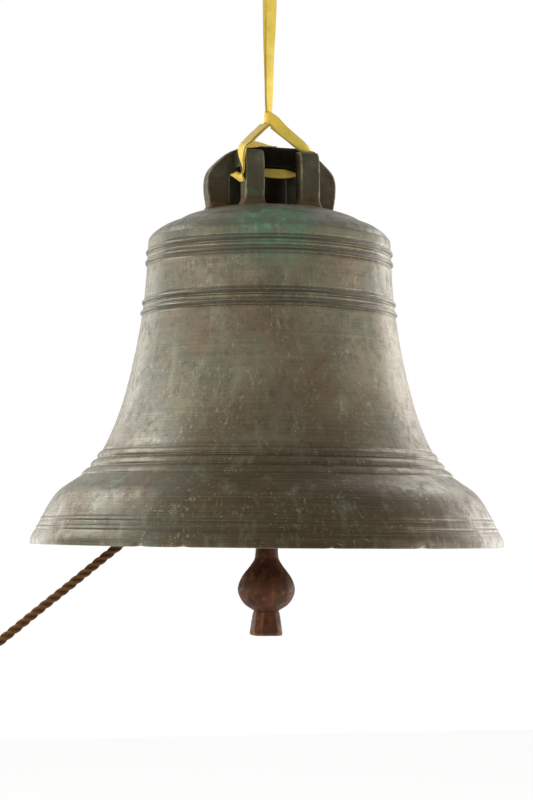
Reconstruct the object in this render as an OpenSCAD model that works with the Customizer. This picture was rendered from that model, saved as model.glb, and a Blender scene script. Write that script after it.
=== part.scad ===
// Cast bronze tower bell with a six-canon crown, an iron clapper with its rope, and a lifting sling.
// The origin is the middle of the flat on top of the crown. X runs along the headstock line.
// Heights named z_... are above the plane of the mouth and are lowered by total_h when drawn.

/* [Bell body] */
// Radius of the mouth at its outer edge
mouth_r = 495; // [480:1:520]
// Height of the rounded lip
lip_h = 30; // [24:1:40]
// How far the lip leans in over its height
lip_lean = 11; // [6:1:16]
// Radius of the sound bow where it is thickest
bow_r = 458; // [446:1:468]
// Height of the sound bow above the mouth
bow_h = 80; // [70:1:92]
// Radius of the hollow above the sound bow
hollow_r = 392; // [380:1:404]
// Rise from the sound bow to the hollow
hollow_rise = 62; // [54:1:72]
// Radius at the foot of the waist
flare_r = 338; // [328:1:350]
// Rise from the hollow to the foot of the waist
flare_rise = 70; // [60:1:84]
// Radius at half the waist
waist_r = 284; // [276:1:292]
// Rise from the foot of the waist to its middle
waist_rise = 176; // [150:1:200]
// Radius under the lower pair of beads
belt_r = 265; // [259:1:271]
// Rise from mid waist to the lower pair of beads
belt_rise = 117; // [100:1:140]
// Radius of the shoulder
shoulder_r = 256; // [250:1:262]
// Rise from the lower beads to the shoulder
shoulder_rise = 135; // [124:1:160]
// Rise of the domed head from the shoulder up to the crown platform
head_rise = 58; // [50:1:70]
// Radius of the level platform that the crown stands on
platform_r = 150; // [144:1:158]

/* [Bell walls] */
// Width of the lip's lower edge
lip_wall = 13; // [10:1:18]
// Level thickness of the sound bow
bow_wall = 87; // [76:1:96]
// Level thickness of the hollow
hollow_wall = 55; // [48:1:62]
// Level thickness at the foot of the waist
flare_wall = 35; // [31:1:40]
// Level thickness of the waist
waist_wall = 28; // [24:1:32]
// Thickness of the head under the crown platform
head_wall = 46; // [40:1:54]
// Radius of the inner corner between wall and head
inner_round = 58; // [45:1:70]

/* [Mouldings] */
// Radius of the paired beads round the shoulder and the waist
bead_r = 4.2; // [3:0.1:5.5]
// How far a bead stands proud of the wall
bead_proud = 3.8; // [2:0.1:4.5]
// Space between the two beads of a pair
bead_pitch = 22; // [16:1:28]
// Drop from the shoulder to the upper pair
upper_pair_drop = 29; // [22:1:38]
// Radius of the three ridges above the sound bow
ridge_r = 7; // [5:0.5:9]
// How far a ridge stands proud of the wall
ridge_proud = 3.2; // [2:0.1:4.5]
// Space between neighbouring ridges
ridge_pitch = 18; // [15:1:21]
// Rise from the hollow to the lowest ridge
ridge_rise = 9; // [4:1:14]
// Height of the lower of the two lines round the lip
line_z = 35; // [31:1:38]
// Space between the two lines round the lip
line_pitch = 18; // [12:1:22]

/* [Crown] */
// Height of the crown above its platform
crown_h = 141; // [132:1:150]
// Width of each canon
canon_w = 41; // [37:1:45]
// Reach of the two single canons from the middle
single_reach = 141; // [134:1:146]
// Radial thickness of the single canons' legs
single_leg = 49; // [43:1:54]
// Reach of the paired canons from the middle
pair_reach = 106; // [100:1:112]
// Radial thickness of the paired canons' legs
pair_leg = 44; // [40:1:45]
// Distance of each paired canon from the middle plane
pair_offset = 59.5; // [57:0.5:66]
// Drop from the crown's top to the tops of the paired canons
pair_drop = 16; // [11:1:24]
// How far each canon's foot spreads at the platform
foot_spread = 11; // [6:1:13]
// Height of the spread foot
foot_h = 14; // [8:1:18]
// Radius of the middle post
post_r = 36; // [30:1:38]
// Half the breadth of the head of the post
hub_b = 45; // [41:1:47]
// Height of the head of the post
hub_h = 46; // [41:1:52]
// Fall of the hub's rounded top at its ends
hub_fall = 8; // [6:1:14]
// Fall of the hub's rounded top at its sides
hub_side_fall = 6; // [4:1:9]
// Half the length of the flat seat on top
seat_l = 28; // [24:1:32]
// Half the breadth of the flat seat on top
seat_b = 24; // [20:1:28]
// Drop from the crown's top to the top of the single canons' eyes
eye_drop = 58; // [54:1:62]
// Radius of the round corner at the top of each eye
eye_round = 14; // [8:1:15]

/* [Clapper hanging] */
// Drop from the head's underside to the clapper's pivot
pivot_drop = 117; // [108:1:130]
// Thickness of the staple's bridge
bridge_t = 14; // [12:1:18]
// Breadth of the staple's bridge
bridge_b = 56; // [50:1:64]
// How far the bridge reaches past each cheek
bridge_over = 8; // [5:1:12]
// Thickness of each staple cheek
cheek_t = 14; // [12:1:16]
// Radius of the rounded end of each cheek
cheek_r = 26; // [24:1:30]
// Radius of the staple's legs cast into the head
leg_r = 11; // [9:0.5:13]
// Depth of the staple's legs in the head
leg_depth = 32; // [26:1:36]
// Radius of the clapper pin
pin_r = 13; // [11:0.5:14]
// Clearance round the pin in the bush and the cheeks
pin_fit = 0.06; // [0.03:0.01:0.09]
// Thickness of the pin's square head
pin_head_t = 12; // [9:1:15]
// Width of the pin's square head and nut
pin_head_w = 38; // [34:1:42]
// Thickness of the pin's washer
washer_t = 3; // [2:0.5:4]
// Radius of the pin's washer
washer_r = 23; // [20:1:25]
// Thickness of the nut
nut_t = 16; // [13:1:20]
// Radius of the split pin
cotter_r = 2.5; // [2:0.1:3]
// How far the split pin reaches past the clapper pin on each side
cotter_out = 9; // [6:1:12]
// Thickness of each leather spacer
spacer_t = 3; // [2:0.5:4]
// Gap between each spacer and the clapper's eye
spacer_gap = 0.4; // [0.3:0.1:0.8]

/* [Clapper] */
// Width of the clapper's eye along the pin
eye_w = 40; // [34:1:46]
// Outer radius of the clapper's eye
eye_r = 36; // [32:1:40]
// Wall of the bush in the eye
bush_wall = 8; // [6:0.5:10]
// Radius of the stem below the eye
stem_top_r = 18; // [15:0.5:21]
// Radius of the stem at the mouth
stem_r = 23.5; // [21:0.5:26]
// Distance of the stem's end below the pivot
stem_l = 560; // [550:1:575]
// Radius of the pear-shaped ball
ball_r = 60; // [54:0.5:62]
// Distance from the stem's end to the ball's widest place
ball_rise = 66; // [58:1:72]
// Distance from there to the ball's lower end
ball_fall = 46; // [40:1:52]
// Radius of the ball's lower end
ball_foot_r = 27; // [24:0.5:30]
// Width of the flight where it leaves the ball
flight_top_w = 51; // [46:1:54]
// Width of the flight at its end
flight_end_w = 66; // [60:1:70]
// Length of the flight
flight_l = 52; // [44:1:60]
// Width of the chamfers along the flight's corners
flight_chamfer = 12; // [8:1:15]

/* [Rope] */
// Diameter of the three-strand rope
rope_d = 18; // [16:1:20]
// Distance of the hitch's middle below the pivot
hitch_drop = 301; // [296:1:306]
// Height of the hitch round the stem
hitch_h = 56; // [44:1:66]
// Gap between the hitch and the stem
hitch_fit = 0.3; // [0.2:0.1:0.6]
// Radius of the knot at the rope's end
knot_r = 20; // [17:0.5:22]

/* [Sling] */
// Width of the webbing
web_w = 25; // [24:0.5:26]
// Thickness of the two plies together
web_t = 4.5; // [4:0.1:4.8]
// Radius of the shackle's pin
shackle_pin_r = 8; // [6:0.5:10]
// Radius of the shackle's bow bar
shackle_bar_r = 7; // [6:0.5:8]
// Inner width of the shackle
shackle_w = 36; // [32:1:44]
// Height of the bow's straight sides above the pin
shackle_side = 30; // [24:1:40]

/* [Hidden] */
$fn = 96;

z_bow = bow_h;
z_hollow = z_bow + hollow_rise;
z_flare = z_hollow + flare_rise;
z_waist = z_flare + waist_rise;
z_belt = z_waist + belt_rise;
z_shoulder = z_belt + shoulder_rise;
z_platform = z_shoulder + head_rise;
z_ceiling = z_platform - head_wall;
total_h = z_platform + crown_h;
z_pivot = z_ceiling - pivot_drop;
z_stem_end = z_pivot - stem_l;
z_ball = z_stem_end - ball_rise;
z_ball_foot = z_ball - ball_fall;
z_hitch = z_pivot - hitch_drop;

hub_l = pair_offset + canon_w / 2;
cheek_x = eye_w / 2 + spacer_gap + spacer_t;
cheek_out = cheek_x + cheek_t;
bush_r = pin_r + pin_fit + bush_wall;
pin_end = cheek_out + washer_t + nut_t + 4 * cotter_r + 6;
seam = 0.02;

bronze = [0.42, 0.40, 0.33];
iron = [0.36, 0.22, 0.15];
steel = [0.62, 0.64, 0.66];
leather = [0.35, 0.22, 0.13];
hemp = [0.45, 0.29, 0.16];
webbing = [0.92, 0.80, 0.28];

// The middle of the rope, from the hitch to its knot
rope_route = [
    [-44, 0, -620], [-84, 0, -653], [-122, 0, -684], [-160, 0, -715], [-198, 0, -746], [-236, 0, -777],
    [-274, 0, -808], [-312, 0, -839], [-350, 0, -869], [-388, 0, -900], [-426, 0, -931], [-464, 0, -961],
    [-502, 0, -992], [-540, 0, -1023], [-578, 0, -1053]
];

// The middle of the webbing round the front canons, each with the way its face looks
loop_route = [
    [[-16, -20, 49], [-2, -8, 4]],
    [[-30, -34, 36], [-3, -8, 4]],
    [[-45, -50, 22], [-3, -7, 5]],
    [[-60, -66, 7], [-4, -7, 5]],
    [[-72, -79, -6], [-5, -6, 5]],
    [[-81, -87, -13], [-8, -4, 4]],
    [[-85, -91, -23], [-9, -3, 2]],
    [[-85.4, -95, -35], [-10, -2, 0]],
    [[-84.2, -98, -48], [-10, -1, 0]],
    [[-83.2, -100, -61], [-10, 0, 0]],
    [[-83.4, -100, -73], [-10, 0, 0]],
    [[-84.5, -94, -83], [-10, 0, 0]],
    [[-86, -80, -87], [-10, 0, -1]],
    [[-88, -65, -82], [-9, 1, 2]],
    [[-88, -53, -74], [-8, 3, 4]],
    [[-81, -47, -67], [-4, 2, 8]],
    [[-68, -46, -63], [0, 1, 9]],
    [[-54, -46, -60.5], [0, -1, 10]],
    [[-43, -46.5, -60], [0, -4, 9]],
    [[-32, -48, -60], [0, -6.5, 7.5]],
    [[-20, -50, -60.5], [0, -8, 5.5]],
    [[0, -50, -60.5], [0, -8.5, 5]],
    [[20, -50, -60], [0, -8, 5.5]],
    [[32, -48, -59.5], [0, -6.5, 7.5]],
    [[44, -46.5, -59.5], [0, -4, 9]],
    [[57, -46, -59.5], [0, -1, 10]],
    [[69, -46, -60], [-1, 0, 10]],
    [[79, -47, -59], [-4, 0, 8]],
    [[85, -49, -51], [-9, 0, 3]],
    [[84.5, -51, -41], [-10, 0, 1]],
    [[84, -53, -30], [-10, 0, 0]],
    [[85.3, -55, -20], [-9, 0, -2]],
    [[82.4, -55, -9], [-5, 1, -8]],
    [[72, -50.5, -2.8], [-4, 5, -7]],
    [[60, -44, 6], [-3, 8, -5]],
    [[47, -37, 18], [-1, 9, -3]],
    [[32, -29, 31], [0, 10, -2]],
    [[16, -22, 44], [0, 10, -1]],
    [[4, -18, 52], [0, 10, -1]]
];

// The middle of the doubled webbing from the choke up to the shackle
standing_route = [
    [[-8, -14, 74], [7.3, -6.8, 0]],
    [[-8, -14, 110], [5.7, -8.2, 0]],
    [[-8, -14, 150], [5, -8.7, 0]],
    [[-8, -14, 190], [3.9, -9.2, 0]],
    [[-8, -14, 230], [2.6, -9.7, 0]],
    [[-8, -14, 270], [0.9, -10, 0]],
    [[-8, -14, 310], [-1.2, -9.9, 0]],
    [[-8, -14, 350], [-2.6, -9.7, 0]]
];
choke_at = [-6, -16, 60];
choke_size = [20, 13, 28];
eye_at = standing_route[len(standing_route) - 1][0] + [0, 0, shackle_pin_r + web_t + 0.6];

// Slope of a smooth curve at one of its stations, and the curve itself between them
function slope(p, i) =
    let (a = max(i - 1, 0), b = min(i + 1, len(p) - 1))
    (p[b][1] - p[a][1]) / (p[b][0] - p[a][0]);

function span_of(p, x, i = 0) = i >= len(p) - 2 || x < p[i + 1][0] ? i : span_of(p, x, i + 1);

function curve(p, x) =
    let (i = span_of(p, x), h = p[i + 1][0] - p[i][0], t = (x - p[i][0]) / h)
    p[i][1] * (2 * t * t * t - 3 * t * t + 1) + slope(p, i) * h * (t * t * t - 2 * t * t + t)
    + p[i + 1][1] * (3 * t * t - 2 * t * t * t) + slope(p, i + 1) * h * (t * t * t - t * t);

function mix(a, b, share) = a + (b - a) * share;

function unit(v) = v / norm(v);

// Stations of the outer wall, of its level thickness and of the shoulder's top
wall_stations = [
    [0, mouth_r],
    [lip_h * 0.45, mouth_r - lip_lean * 0.18],
    [lip_h, mouth_r - lip_lean],
    [z_bow, bow_r],
    [mix(z_bow, z_hollow, 0.5), mix(bow_r, hollow_r, 0.35)],
    [z_hollow, hollow_r],
    [mix(z_hollow, z_flare, 0.4), mix(hollow_r, flare_r, 0.5)],
    [z_flare, flare_r],
    [mix(z_flare, z_waist, 0.44), mix(flare_r, waist_r, 0.55)],
    [z_waist, waist_r],
    [z_belt, belt_r],
    [z_shoulder, shoulder_r]
];
thickness_stations = [
    [0, lip_wall],
    [lip_h * 1.3, bow_wall * 0.95],
    [mix(z_bow, z_hollow, 0.4), bow_wall],
    [z_hollow + 10, hollow_wall],
    [z_flare, flare_wall],
    [z_waist, waist_wall],
    [z_shoulder, waist_wall]
];
shoulder_stations = [
    [platform_r, z_platform],
    [mix(platform_r, shoulder_r, 0.31), mix(z_shoulder, z_platform, 0.81)],
    [mix(platform_r, shoulder_r, 0.49), mix(z_shoulder, z_platform, 0.63)],
    [mix(platform_r, shoulder_r, 0.68), mix(z_shoulder, z_platform, 0.49)],
    [mix(platform_r, shoulder_r, 0.84), mix(z_shoulder, z_platform, 0.31)],
    [mix(platform_r, shoulder_r, 0.94), mix(z_shoulder, z_platform, 0.16)],
    [shoulder_r, z_shoulder]
];

function outer_r(z) = curve(wall_stations, z);
function inner_r(z) = outer_r(z) - curve(thickness_stations, z);

module at_height(z) {
    translate([0, 0, z - total_h]) children();
}

// Lays a cylinder or a turned shape along X, with its middle on the given height
module along_x(z) {
    at_height(z) rotate([0, 90, 0]) children();
}

module moulding(z, radius, proud) {
    translate([outer_r(z) + proud - radius, z]) circle(r = radius, $fn = 32);
}

module bell_section() {
    z_wall_top = z_ceiling - inner_round;
    r_wall_top = inner_r(z_wall_top);
    steps = 48;
    polygon(concat(
        [for (i = [0 : steps]) let (z = z_shoulder * i / steps) [outer_r(z), z]],
        [for (i = [1 : 12]) let (r = mix(shoulder_r, platform_r, i / 12)) [r, curve(shoulder_stations, r)]],
        [[0, z_platform], [0, z_ceiling]],
        [for (a = [90 : -15 : 0]) [
            r_wall_top - inner_round + inner_round * cos(a), z_wall_top + inner_round * sin(a)]],
        [for (i = [1 : 36]) let (z = z_wall_top * (1 - i / 36)) [inner_r(z), z]]
    ));
    for (i = [0, 1]) {
        moulding(z_belt - i * bead_pitch, bead_r, bead_proud);
        moulding(z_shoulder - upper_pair_drop - i * bead_pitch, bead_r, bead_proud);
        moulding(line_z + i * line_pitch, bead_r, bead_proud / 2);
    }
    for (i = [0 : 2]) moulding(z_hollow + ridge_rise + i * ridge_pitch, ridge_r, ridge_proud);
}

module bell_shell() {
    color(bronze) difference() {
        at_height(0) rotate_extrude() bell_section();
        for (side = [-1, 1]) {
            translate([side * (cheek_x + cheek_t / 2), 0, 0])
                at_height(z_ceiling - 1) cylinder(r = leg_r, h = leg_depth + 1);
        }
    }
}

// The post under the headstock, running up into its oblong head, with the flat seat on top
module argent() {
    color(bronze) {
        at_height(z_platform) cylinder(r = post_r, h = crown_h - hub_h / 2);
        intersection() {
            rotate([90, 0, 0]) linear_extrude(2 * hub_b, center = true)
                hub_outline(hub_l, seat_l, hub_fall);
            rotate([90, 0, 90]) linear_extrude(2 * hub_l, center = true)
                hub_outline(hub_b, seat_b, hub_side_fall);
        }
    }
}

// Section of the hub: flat below, with a flat seat on top that rounds off to both ends
module hub_outline(half, seat, end_fall) {
    steps = 8;
    round_r = (half - seat) * (half - seat) / (2 * end_fall) + end_fall / 2;
    function fall(x) = round_r - sqrt(round_r * round_r - (x - seat) * (x - seat));
    polygon(concat(
        [[-half, -hub_h], [half, -hub_h]],
        [for (i = [0 : steps]) let (x = mix(half, seat, i / steps)) [x, -fall(x)]],
        [for (i = [0 : steps]) let (x = mix(seat, half, i / steps)) [-x, -fall(x)]]
    ));
}

// Stations of each kind of canon's outer side, as height below the crown's top and reach
single_stations = [
    [-crown_h, single_reach - 8],
    [-crown_h * 0.6, single_reach],
    [-crown_h * 0.38, single_reach - 6],
    [-crown_h * 0.2, single_reach - 28],
    [-hub_fall - 7, single_reach - 45],
    [-hub_fall, hub_l]
];
pair_stations = [
    [-crown_h, pair_reach - 3],
    [-crown_h * 0.6, pair_reach],
    [-crown_h * 0.34, pair_reach - 3],
    [-pair_drop - 6, pair_reach - 14],
    [-pair_drop, pair_reach - 32]
];

// A canon in its own plane, from the hub outwards, with its eye open below the arm
module canon(start, stations, leg_in, eye_top) {
    steps = 14;
    low = -crown_h;
    high = stations[len(stations) - 1][0];
    reach = stations[1][1];
    leg = reach - leg_in;
    rotate([90, 0, 0]) linear_extrude(canon_w, center = true) polygon(concat(
        [[start, eye_top], [start, high]],
        [for (i = [steps : -1 : 0]) let (z = mix(low, high, i / steps)) [curve(stations, z), z]],
        [[leg_in, low]],
        [for (a = [0 : 15 : 90]) [
            leg_in - eye_round + eye_round * cos(a), eye_top - eye_round + eye_round * sin(a)]]
    ));
    hull() {
        translate([leg_in + leg / 2 - 2, 0, low + foot_h])
            cube([leg - 6, canon_w, seam], center = true);
        translate([leg_in + leg / 2, 0, low + seam / 2])
            cube([leg + foot_spread, canon_w + 2 * foot_spread, seam], center = true);
    }
}

module single_canon(turn) {
    color(bronze) rotate([0, 0, turn])
        canon(hub_l, single_stations, single_reach - single_leg, -eye_drop);
}

module pair_canon(turn, offset) {
    color(bronze) translate([offset, 0, 0]) rotate([0, 0, turn])
        canon(hub_b, pair_stations, pair_reach - pair_leg, -hub_h - 2);
}

module canon_left() {
    single_canon(180);
}

module canon_right() {
    single_canon(0);
}

module canon_front_left() {
    pair_canon(-90, -pair_offset);
}

module canon_front_right() {
    pair_canon(-90, pair_offset);
}

module canon_back_left() {
    pair_canon(90, -pair_offset);
}

module canon_back_right() {
    pair_canon(90, pair_offset);
}

// Wrought staple under the head: a bridge, two cheeks for the pin and two legs cast into the bronze
module crown_staple() {
    color(iron) difference() {
        union() {
            at_height(z_ceiling - bridge_t) translate([-cheek_out - bridge_over, -bridge_b / 2, 0])
                cube([2 * (cheek_out + bridge_over), bridge_b, bridge_t]);
            for (side = [-1, 1]) {
                translate([side * (cheek_x + cheek_t / 2), 0, 0]) {
                    along_x(z_pivot) cylinder(r = cheek_r, h = cheek_t, center = true);
                    at_height(z_pivot) translate([-cheek_t / 2, -cheek_r, 0])
                        cube([cheek_t, 2 * cheek_r, pivot_drop - bridge_t]);
                    at_height(z_ceiling) cylinder(r = leg_r, h = leg_depth);
                }
            }
        }
        along_x(z_pivot) cylinder(r = pin_r + pin_fit, h = 4 * cheek_out, center = true);
    }
}

module clapper_pin() {
    color(steel) difference() {
        union() {
            along_x(z_pivot) translate([0, 0, -cheek_out]) cylinder(r = pin_r, h = cheek_out + pin_end);
            at_height(z_pivot) translate([-cheek_out - pin_head_t, -pin_head_w / 2, -pin_head_w / 2])
                cube([pin_head_t, pin_head_w, pin_head_w]);
        }
        translate([cheek_out + washer_t + nut_t + 2 * cotter_r, 0, 0])
            at_height(z_pivot) cylinder(r = cotter_r, h = 4 * pin_r, center = true);
    }
}

module pin_washer() {
    color(steel) translate([cheek_out, 0, 0]) along_x(z_pivot) difference() {
        cylinder(r = washer_r, h = washer_t);
        translate([0, 0, -1]) cylinder(r = pin_r + pin_fit, h = washer_t + 2);
    }
}

module pin_nut() {
    color(steel) translate([cheek_out + washer_t, 0, 0]) difference() {
        at_height(z_pivot) translate([0, -pin_head_w / 2, -pin_head_w / 2])
            cube([nut_t, pin_head_w, pin_head_w]);
        along_x(z_pivot) translate([0, 0, -1]) cylinder(r = pin_r + seam, h = nut_t + 2);
    }
}

module pin_cotter() {
    stem = 2 * (pin_r + cotter_out);
    color(steel) translate([cheek_out + washer_t + nut_t + 2 * cotter_r, 0, 0]) at_height(z_pivot) {
        translate([0, 0, -stem / 2]) cylinder(r = cotter_r - seam, h = stem);
        translate([0, 0, stem / 2 + 2 * cotter_r]) rotate([0, 90, 0]) rotate_extrude()
            translate([2.4 * cotter_r, 0]) circle(r = cotter_r - seam, $fn = 24);
    }
}

module clapper_spacers() {
    color(leather) for (side = [-1, 1]) {
        translate([side * (eye_w / 2 + spacer_gap + spacer_t / 2), 0, 0]) along_x(z_pivot) difference() {
            cylinder(r = cheek_r - 1, h = spacer_t, center = true);
            cylinder(r = pin_r + pin_fit, h = spacer_t + 2, center = true);
        }
    }
}

// Stations of the stem and the pear-shaped ball, from the ball's foot upwards
clapper_stations = [
    [z_ball_foot, ball_foot_r],
    [mix(z_ball, z_ball_foot, 0.75), mix(ball_r, ball_foot_r, 0.48)],
    [mix(z_ball, z_ball_foot, 0.4), mix(ball_r, ball_foot_r, 0.13)],
    [z_ball, ball_r],
    [mix(z_ball, z_stem_end, 0.35), mix(ball_r, stem_r, 0.22)],
    [mix(z_ball, z_stem_end, 0.75), mix(ball_r, stem_r, 0.75)],
    [z_stem_end, stem_r + 1],
    [z_stem_end + 60, stem_r],
    [z_pivot - eye_r * 0.8, stem_top_r]
];

module clapper() {
    z_stem_top = z_pivot - eye_r * 0.8;
    function station_z(i) = i <= 20
        ? mix(z_ball_foot, z_stem_end, i / 20)
        : mix(z_stem_end, z_stem_top, (i - 20) / 12);
    color(iron) {
        difference() {
            union() {
                at_height(0) rotate_extrude() polygon(concat(
                    [[0, z_ball_foot]],
                    [for (i = [0 : 32]) [curve(clapper_stations, station_z(i)), station_z(i)]],
                    [[0, z_stem_top]]
                ));
                along_x(z_pivot) cylinder(r = eye_r, h = eye_w, center = true);
            }
            along_x(z_pivot) cylinder(r = bush_r, h = eye_w + 2, center = true);
        }
        hull() {
            at_height(z_ball_foot) flight_slice(flight_top_w);
            at_height(z_ball_foot - flight_l) flight_slice(flight_end_w);
        }
    }
}

// Eight-sided slice of the flight: a square with its corners taken off
module flight_slice(w) {
    a = w / 2;
    b = a - flight_chamfer;
    linear_extrude(seam, center = true)
        polygon([[a, b], [b, a], [-b, a], [-a, b], [-a, -b], [-b, -a], [b, -a], [a, -b]]);
}

module clapper_bush() {
    color(leather) along_x(z_pivot) difference() {
        cylinder(r = bush_r - seam, h = eye_w, center = true);
        cylinder(r = pin_r + pin_fit, h = eye_w + 2, center = true);
    }
}

// The turns of rope round the clapper's stem, as one collar
module rope_hitch() {
    bore = curve(clapper_stations, z_hitch - hitch_h / 2) + hitch_fit;
    color(hemp) at_height(z_hitch) rotate_extrude() translate([bore, 0]) union() {
        translate([0, -hitch_h / 2 + rope_d / 2]) square([rope_d * 0.9, hitch_h - rope_d]);
        for (side = [-1, 1]) {
            translate([rope_d * 0.45, side * (hitch_h / 2 - rope_d / 2)]) circle(d = rope_d * 0.9, $fn = 32);
        }
    }
}

// Sweeps a section, given as points across and through, along a route of points with face normals
module sweep(points, faces, section) {
    n = len(points);
    m = len(section);
    function ahead(i) = unit(points[min(i + 1, n - 1)] - points[max(i - 1, 0)]);
    function across(i) = unit(cross(ahead(i), faces[i]));
    function through(i) = cross(across(i), ahead(i));
    rings = [for (i = [0 : n - 1]) for (s = section) points[i] + across(i) * s[0] + through(i) * s[1]];
    walls = [for (i = [0 : n - 2]) for (j = [0 : m - 1]) for (half = [0, 1])
        let (a = i * m + j, b = i * m + (j + 1) % m)
        half == 0 ? [a, b, b + m] : [a, b + m, a + m]];
    start_cap = [[for (j = [m - 1 : -1 : 0]) j]];
    end_cap = [[for (j = [0 : m - 1]) (n - 1) * m + j]];
    polyhedron(rings, concat(walls, start_cap, end_cap), convexity = 10);
}

function round_section(r) = [for (i = [0 : 9]) [r * cos(36 * i), -r * sin(36 * i)]];

function web_section(w, t) = let (a = w / 2, b = t / 2, c = t / 3)
    [[a, b - c], [a - c, b], [c - a, b], [-a, b - c], [-a, c - b], [c - a, -b], [a - c, -b], [a, c - b]];

module rope() {
    color(hemp) sweep(rope_route, [for (p = rope_route) [0, 1, 0]], round_section(rope_d / 2));
}

module rope_end_knot() {
    last = len(rope_route) - 1;
    way = unit(rope_route[last] - rope_route[last - 1]);
    color(hemp) translate(rope_route[last] + way * (knot_r + 0.3)) rotate([0, atan2(way[0], way[2]), 0])
        rotate_extrude() intersection() {
            circle(r = knot_r, $fn = 48);
            translate([0, -knot_r]) square([knot_r, 2 * knot_r]);
        }
}

module sling_loop() {
    color(webbing) sweep([for (s = loop_route) s[0]], [for (s = loop_route) s[1]], web_section(web_w, web_t));
}

module sling_standing() {
    color(webbing)
        sweep([for (s = standing_route) s[0]], [for (s = standing_route) s[1]], web_section(web_w, web_t));
}

module sling_choke() {
    color(webbing) translate(choke_at) cube(choke_size, center = true);
}

module sling_eye() {
    color(webbing) translate(eye_at) rotate([0, 90, 0]) difference() {
        cylinder(r = shackle_pin_r + 0.3 + web_t, h = web_w, center = true);
        cylinder(r = shackle_pin_r + 0.3, h = web_w + 2, center = true);
    }
}

module shackle_pin() {
    grip = shackle_w / 2 + 2 * shackle_bar_r;
    color(steel) translate(eye_at) rotate([0, 90, 0]) {
        cylinder(r = shackle_pin_r, h = 2 * grip + 6, center = true);
        translate([0, 0, grip + 3]) cylinder(r = shackle_pin_r * 1.5, h = 6);
    }
}

module shackle_bow() {
    side_x = shackle_w / 2 + shackle_bar_r;
    color(steel) translate(eye_at) difference() {
        union() {
            for (side = [-1, 1]) translate([side * side_x, 0, 0]) {
                cylinder(r = shackle_bar_r, h = shackle_side);
                rotate([0, 90, 0])
                    cylinder(r = shackle_pin_r + shackle_bar_r, h = 2 * shackle_bar_r, center = true);
            }
            translate([0, 0, shackle_side]) rotate([90, 0, 0]) rotate_extrude(angle = 180)
                translate([side_x, 0]) circle(r = shackle_bar_r, $fn = 32);
        }
        rotate([0, 90, 0]) cylinder(r = shackle_pin_r + 0.05, h = 4 * side_x, center = true);
    }
}

bell_shell();
argent();
canon_left();
canon_right();
canon_front_left();
canon_front_right();
canon_back_left();
canon_back_right();
crown_staple();
clapper_pin();
pin_washer();
pin_nut();
pin_cotter();
clapper_spacers();
clapper();
clapper_bush();
rope_hitch();
rope();
rope_end_knot();
sling_loop();
sling_choke();
sling_standing();
sling_eye();
shackle_bow();
shackle_pin();
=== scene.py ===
import math
from functools import partial

import bpy
import numpy as np
from mathutils import Matrix, Vector


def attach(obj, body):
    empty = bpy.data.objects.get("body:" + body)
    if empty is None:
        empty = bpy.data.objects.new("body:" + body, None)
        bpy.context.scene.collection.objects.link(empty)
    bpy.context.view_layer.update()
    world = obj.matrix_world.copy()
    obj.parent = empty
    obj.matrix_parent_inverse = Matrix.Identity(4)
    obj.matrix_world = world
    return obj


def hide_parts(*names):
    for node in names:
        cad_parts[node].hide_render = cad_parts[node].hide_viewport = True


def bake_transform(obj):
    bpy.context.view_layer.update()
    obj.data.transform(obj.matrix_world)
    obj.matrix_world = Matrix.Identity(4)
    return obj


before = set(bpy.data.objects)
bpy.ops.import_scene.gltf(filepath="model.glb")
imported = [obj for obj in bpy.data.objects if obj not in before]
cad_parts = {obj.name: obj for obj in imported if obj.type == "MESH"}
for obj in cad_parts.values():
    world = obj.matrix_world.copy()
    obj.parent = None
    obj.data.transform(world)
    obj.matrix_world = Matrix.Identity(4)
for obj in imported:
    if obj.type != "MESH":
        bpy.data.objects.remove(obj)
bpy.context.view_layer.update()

# Shapes are in millimetres and are turned to metres where a mesh is made. The camera, finishes and room are in metres.
MM = 0.001
MOUTH = -839.0  # the plane of the lip, below the seat on the crown
PIVOT = -304.0  # the clapper's pin
FRONT = math.radians(-15.0)  # the crown stands 15 degrees round from the photograph's view
ACROSS = (math.cos(FRONT), math.sin(FRONT), 0.0)  # to the photograph's right
TOWARDS = (math.sin(FRONT), -math.cos(FRONT), 0.0)  # from the bell to the camera
UP = (0.0, 0.0, 1.0)


def new_object(name, data):
    """An object for a mesh, a lamp or a camera, linked to the scene."""
    thing = bpy.data.objects.new(name, data)
    bpy.context.scene.collection.objects.link(thing)
    return thing


# The camera: 4 m off, a little over the plane of the mouth and looking slightly up

PITCH, ROLL = math.radians(3.637), math.radians(0.5)
CAMERA_FAR, CAMERA_HIGH, CAMERA_ASIDE = 3.978, -0.787, 0.0032
SENSOR_HEIGHT_MM, LENS_MM = 36.0, 84.96


def set_camera():
    """Puts the camera where the photograph was taken from."""
    level, right = -Vector(TOWARDS), Vector(ACROSS)
    ahead = level * math.cos(PITCH) + Vector(UP) * math.sin(PITCH)
    up = right.cross(ahead)
    tilted_right = right * math.cos(ROLL) + up * math.sin(ROLL)
    tilted_up = up * math.cos(ROLL) - right * math.sin(ROLL)
    data = bpy.data.cameras.new("camera")
    data.sensor_fit = "VERTICAL"
    data.sensor_height = SENSOR_HEIGHT_MM
    data.lens = LENS_MM
    data.clip_end = 60.0
    camera = new_object("camera", data)
    place = Vector((0, 0, CAMERA_HIGH)) - level * CAMERA_FAR - right * CAMERA_ASIDE
    camera.matrix_world = Matrix.Translation(place) @ Matrix((tilted_right, tilted_up, -ahead)).transposed().to_4x4()
    bpy.context.scene.camera = camera


set_camera()


# Colours and nodes

def shade(code):
    """The linear colour of an sRGB hex value."""
    parts = [int(code[i:i + 2], 16) / 255 for i in (0, 2, 4)]
    return tuple(c / 12.92 if c <= 0.04045 else ((c + 0.055) / 1.055) ** 2.4 for c in parts) + (1.0,)


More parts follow.
